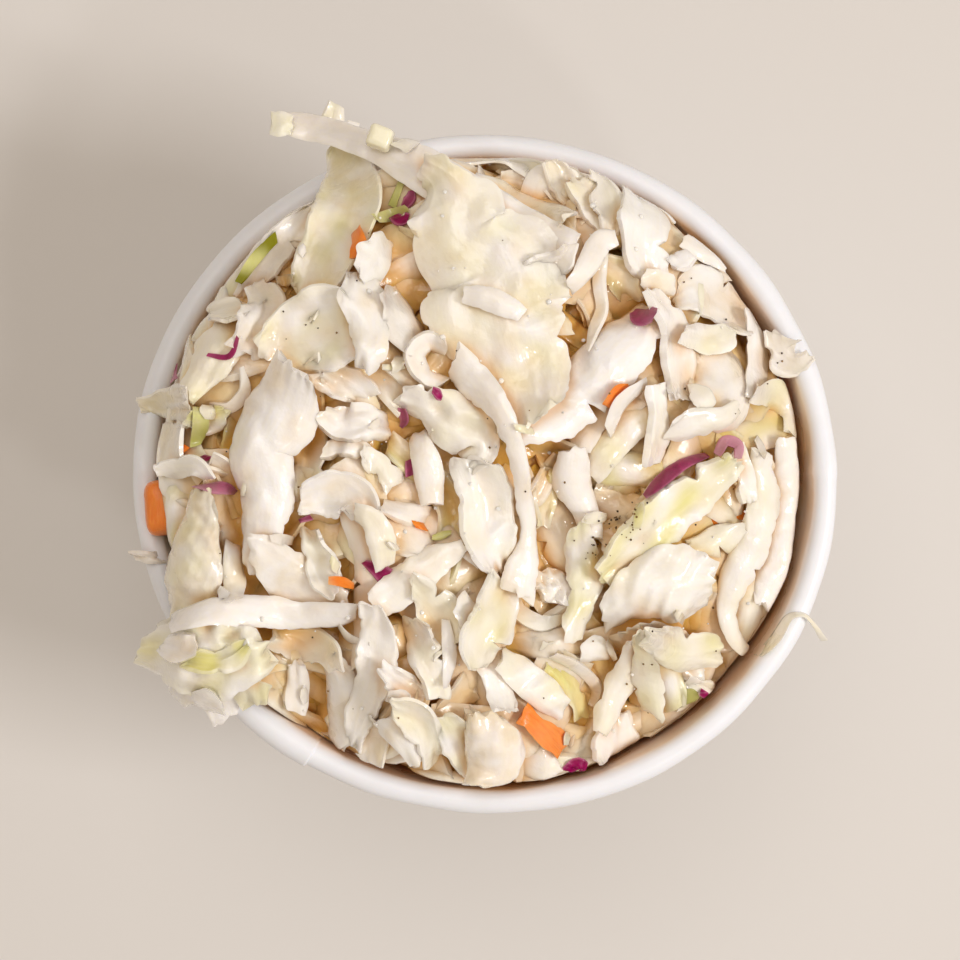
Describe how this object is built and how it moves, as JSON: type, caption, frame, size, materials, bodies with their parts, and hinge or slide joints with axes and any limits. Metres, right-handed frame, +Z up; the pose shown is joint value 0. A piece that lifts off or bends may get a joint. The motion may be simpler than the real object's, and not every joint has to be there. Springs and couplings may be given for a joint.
{
  "type": "tub of coleslaw",
  "caption": "Round tapered paper food tub with a rolled lip, heaped with shredded coleslaw that stands above the lip and hangs over it in places.",
  "frame": {"origin": "centre of the tub's foot, on the surface that it stands on", "axes": "+Z up, out of the tub's mouth; +X towards the right of someone looking down at the slaw with the deep gap beside the wall at their lower right"},
  "size_m": [0.0916, 0.0893, 0.0766],
  "materials": {
    "coated_paper": "white cupstock paperboard, coated with polyethylene, satin",
    "dressed_cabbage": "wet raw shredded white cabbage with bits of carrot and red cabbage in a thin creamy dressing"
  },
  "bodies": {
    "root": {"tub": "coated_paper", "coleslaw": "dressed_cabbage"}
  },
  "joints": []
}
